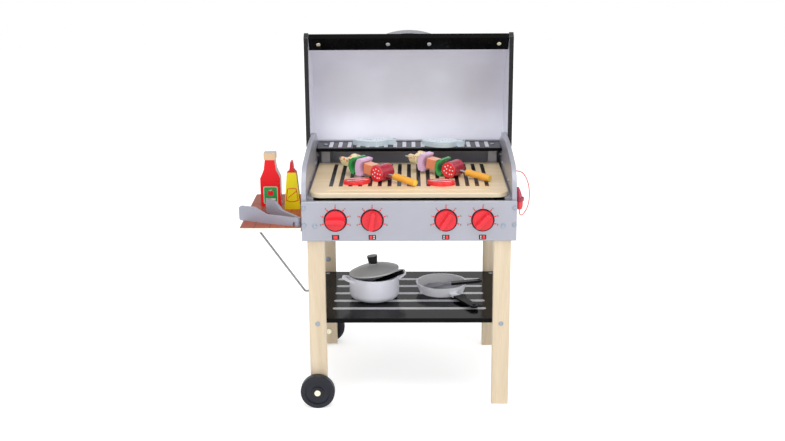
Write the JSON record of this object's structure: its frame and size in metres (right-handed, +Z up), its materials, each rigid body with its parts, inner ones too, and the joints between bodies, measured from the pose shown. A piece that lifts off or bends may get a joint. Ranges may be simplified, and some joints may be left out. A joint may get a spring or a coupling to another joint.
{
  "type": "toy barbecue grill",
  "caption": "Wooden toy barbecue grill on legs and wheels with a hinged lid, turning knobs, a fold-down side table, a lift-out grill board, pans and play food.",
  "frame": {"origin": "on the floor, at the middle of the footprint box (without the lighter, its holder and its cord)", "axes": "+X to the right seen from the front, +Y to the back, +Z up"},
  "size_m": [0.5692, 0.4142, 0.7112],
  "materials": {
    "silver_paint": "silver satin lacquer on plywood",
    "birch": "clear satin lacquer on birch",
    "black_paint": "gloss black lacquer on plywood",
    "steel": "zinc plated",
    "red_paint": "red lacquer on wood",
    "handle_silver": "silver lacquer on wood",
    "charcoal": "charcoal lacquer on wood",
    "tile_print": "brick print on plywood",
    "cord_red": "woven",
    "lighter_paint": "red lacquer on wood",
    "mustard_paint": "yellow lacquer on wood",
    "ketchup_paint": "red lacquer on wood",
    "tongs_grey": "grey lacquer on wood",
    "meat_red": "red lacquer on wood",
    "salmon_orange": "orange lacquer on wood",
    "onion_lilac": "lilac lacquer on wood",
    "pepper_green": "green lacquer on wood",
    "pineapple_yellow": "yellow lacquer on wood",
    "steak_paint": "printed and lacquered wood",
    "fish_paint": "printed and lacquered wood",
    "skewer_wood": "orange lacquer on wood",
    "pot_white": "off-white lacquer on wood"
  },
  "bodies": {
    "root": {"front_leg_left": "birch", "front_leg_right": "birch", "rear_leg_left": "birch", "rear_leg_right": "birch", "lower_shelf": "black_paint", "firebox_side_left": "silver_paint", "firebox_side_right": "silver_paint", "control_panel": "silver_paint", "back_panel": "silver_paint", "firebox_floor": "silver_paint", "inner_battens": "silver_paint", "warming_rack": "black_paint", "frame_bolts": "steel", "wheel_axles": "steel", "table_hinge": "steel", "lighter_hook": "mustard_paint", "lighter_cord": "cord_red"},
    "lid": {"lid_side_left": "black_paint", "lid_side_right": "black_paint", "lid_skin": "black_paint", "lid_rail": "black_paint", "lid_handle": "handle_silver", "lid_bolts": "steel"},
    "side_table": {"side_table": "tile_print", "table_fittings": "steel"},
    "brace": {"brace_wire": "steel"},
    "ketchup": {"ketchup_bottle": "ketchup_paint"},
    "mustard": {"mustard_bottle": "mustard_paint"},
    "tongs": {"tongs_arm_front": "tongs_grey"},
    "tongs_rear": {"tongs_arm_rear": "tongs_grey"},
    "board": {"grill_board": "birch"},
    "pot": {"pot": "pot_white"},
    "pot_lid": {"pot_lid": "pot_white"},
    "ladle": {"ladle": "black_paint"},
    "pan": {"pan": "black_paint"},
    "spatula": {"spatula": "tongs_grey"},
    "play_lighter": {"play_lighter": "lighter_paint"},
    "knob_1": {"knob_1": "red_paint"},
    "knob_2": {"knob_2": "red_paint"},
    "knob_3": {"knob_3": "red_paint"},
    "knob_4": {"knob_4": "red_paint"},
    "wheel_front": {"wheel_front": "charcoal"},
    "wheel_rear": {"wheel_rear": "charcoal"},
    "steak_1": {"steak_1": "steak_paint"},
    "fish_1": {"fish_1": "fish_paint"},
    "skewer_1": {"skewer_1": "skewer_wood"},
    "kebab_1": {"meat_1": "meat_red", "salmon_1": "salmon_orange", "onion_1": "onion_lilac", "pepper_1": "pepper_green", "pineapple_1": "pineapple_yellow"},
    "steak_2": {"steak_2": "steak_paint"},
    "fish_2": {"fish_2": "fish_paint"},
    "skewer_2": {"skewer_2": "skewer_wood"},
    "kebab_2": {"meat_2": "meat_red", "pepper_2": "pepper_green", "salmon_2": "salmon_orange", "onion_2": "onion_lilac", "pineapple_2": "pineapple_yellow"}
  },
  "joints": [
    {"name": "lid_hinge", "type": "hinge", "parent": "root", "child": "lid", "pos_m": [0.05701, 0.12041, 0.445], "axis": [1, 0, 0], "range_deg": [0, 70.5]},
    {"name": "table_fold", "type": "hinge", "parent": "root", "child": "side_table", "pos_m": [-0.15149, -0.05509, 0.3565], "axis": [0, -1, 0], "range_deg": [0, 90]},
    {"name": "brace_swing", "type": "hinge", "parent": "side_table", "child": "brace", "pos_m": [-0.23049, -0.17109, 0.3562], "axis": [0, -1, 0], "range_deg": [-125.51, 0]},
    {"name": "tongs_squeeze", "type": "hinge", "parent": "tongs", "child": "tongs_rear", "pos_m": [-0.15699, -0.17309, 0.368], "axis": [0, 0, 1], "range_deg": [0, 28]},
    {"name": "knob_1_turn", "type": "hinge", "parent": "root", "child": "knob_1", "pos_m": [-0.08339, -0.18909, 0.383], "axis": [0, -1, 0], "continuous": true},
    {"name": "knob_2_turn", "type": "hinge", "parent": "root", "child": "knob_2", "pos_m": [-0.01319, -0.18909, 0.383], "axis": [0, -1, 0], "continuous": true},
    {"name": "knob_3_turn", "type": "hinge", "parent": "root", "child": "knob_3", "pos_m": [0.12721, -0.18909, 0.383], "axis": [0, -1, 0], "continuous": true},
    {"name": "knob_4_turn", "type": "hinge", "parent": "root", "child": "knob_4", "pos_m": [0.19741, -0.18909, 0.383], "axis": [0, -1, 0], "continuous": true},
    {"name": "wheel_front_roll", "type": "hinge", "parent": "root", "child": "wheel_front", "pos_m": [-0.12439, -0.20199, 0.0339], "axis": [0, 1, 0], "continuous": true},
    {"name": "wheel_rear_roll", "type": "hinge", "parent": "root", "child": "wheel_rear", "pos_m": [-0.12439, 0.16081, 0.0339], "axis": [0, 1, 0], "continuous": true},
    {"name": "board_lift", "type": "slide", "parent": "root", "child": "board", "axis": [0, 0, 1], "range_m": [0, 0.012]},
    {"name": "ketchup_lift", "type": "slide", "parent": "side_table", "child": "ketchup", "axis": [0, 0, 1], "range_m": [0, 0.06]},
    {"name": "mustard_lift", "type": "slide", "parent": "side_table", "child": "mustard", "axis": [0, 0, 1], "range_m": [0, 0.06]},
    {"name": "tongs_lift", "type": "slide", "parent": "side_table", "child": "tongs", "axis": [0, 0, 1], "range_m": [0, 0.06]},
    {"name": "pot_lift", "type": "slide", "parent": "root", "child": "pot", "axis": [0, 0, 1], "range_m": [0, 0.025]},
    {"name": "pot_lid_lift", "type": "slide", "parent": "pot", "child": "pot_lid", "axis": [0, 0, 1], "range_m": [0, 0.025]},
    {"name": "ladle_pull", "type": "slide", "parent": "pot", "child": "ladle", "axis": [0.8626, -0.2637, 0.4317], "range_m": [0, 0.02]},
    {"name": "pan_lift", "type": "slide", "parent": "root", "child": "pan", "axis": [0, 0, 1], "range_m": [0, 0.06]},
    {"name": "spatula_lift", "type": "slide", "parent": "pan", "child": "spatula", "axis": [0, 0, 1], "range_m": [0, 0.06]},
    {"name": "lighter_lift", "type": "slide", "parent": "root", "child": "play_lighter", "axis": [0, 0, 1], "range_m": [0, 0.02]},
    {"name": "steak_1_lift", "type": "slide", "parent": "board", "child": "steak_1", "axis": [0, 0, 1], "range_m": [0, 0.012]},
    {"name": "fish_1_lift", "type": "slide", "parent": "root", "child": "fish_1", "axis": [0, 0, 1], "range_m": [0, 0.015]},
    {"name": "skewer_1_lift", "type": "slide", "parent": "board", "child": "skewer_1", "axis": [0, 0, 1], "range_m": [0, 0.012]},
    {"name": "kebab_1_slide", "type": "slide", "parent": "skewer_1", "child": "kebab_1", "axis": [-0.767, 0.6322, 0.1098], "range_m": [0, 0.06]},
    {"name": "steak_2_lift", "type": "slide", "parent": "board", "child": "steak_2", "axis": [0, 0, 1], "range_m": [0, 0.012]},
    {"name": "fish_2_lift", "type": "slide", "parent": "root", "child": "fish_2", "axis": [0, 0, 1], "range_m": [0, 0.015]},
    {"name": "skewer_2_lift", "type": "slide", "parent": "board", "child": "skewer_2", "axis": [0, 0, 1], "range_m": [0, 0.012]},
    {"name": "kebab_2_slide", "type": "slide", "parent": "skewer_2", "child": "kebab_2", "axis": [-0.824, 0.5558, 0.1098], "range_m": [0, 0.02]}
  ],
  "couplings": [
    {"joint": "brace_swing", "follows": "table_fold", "ratio": -1.389}
  ]
}
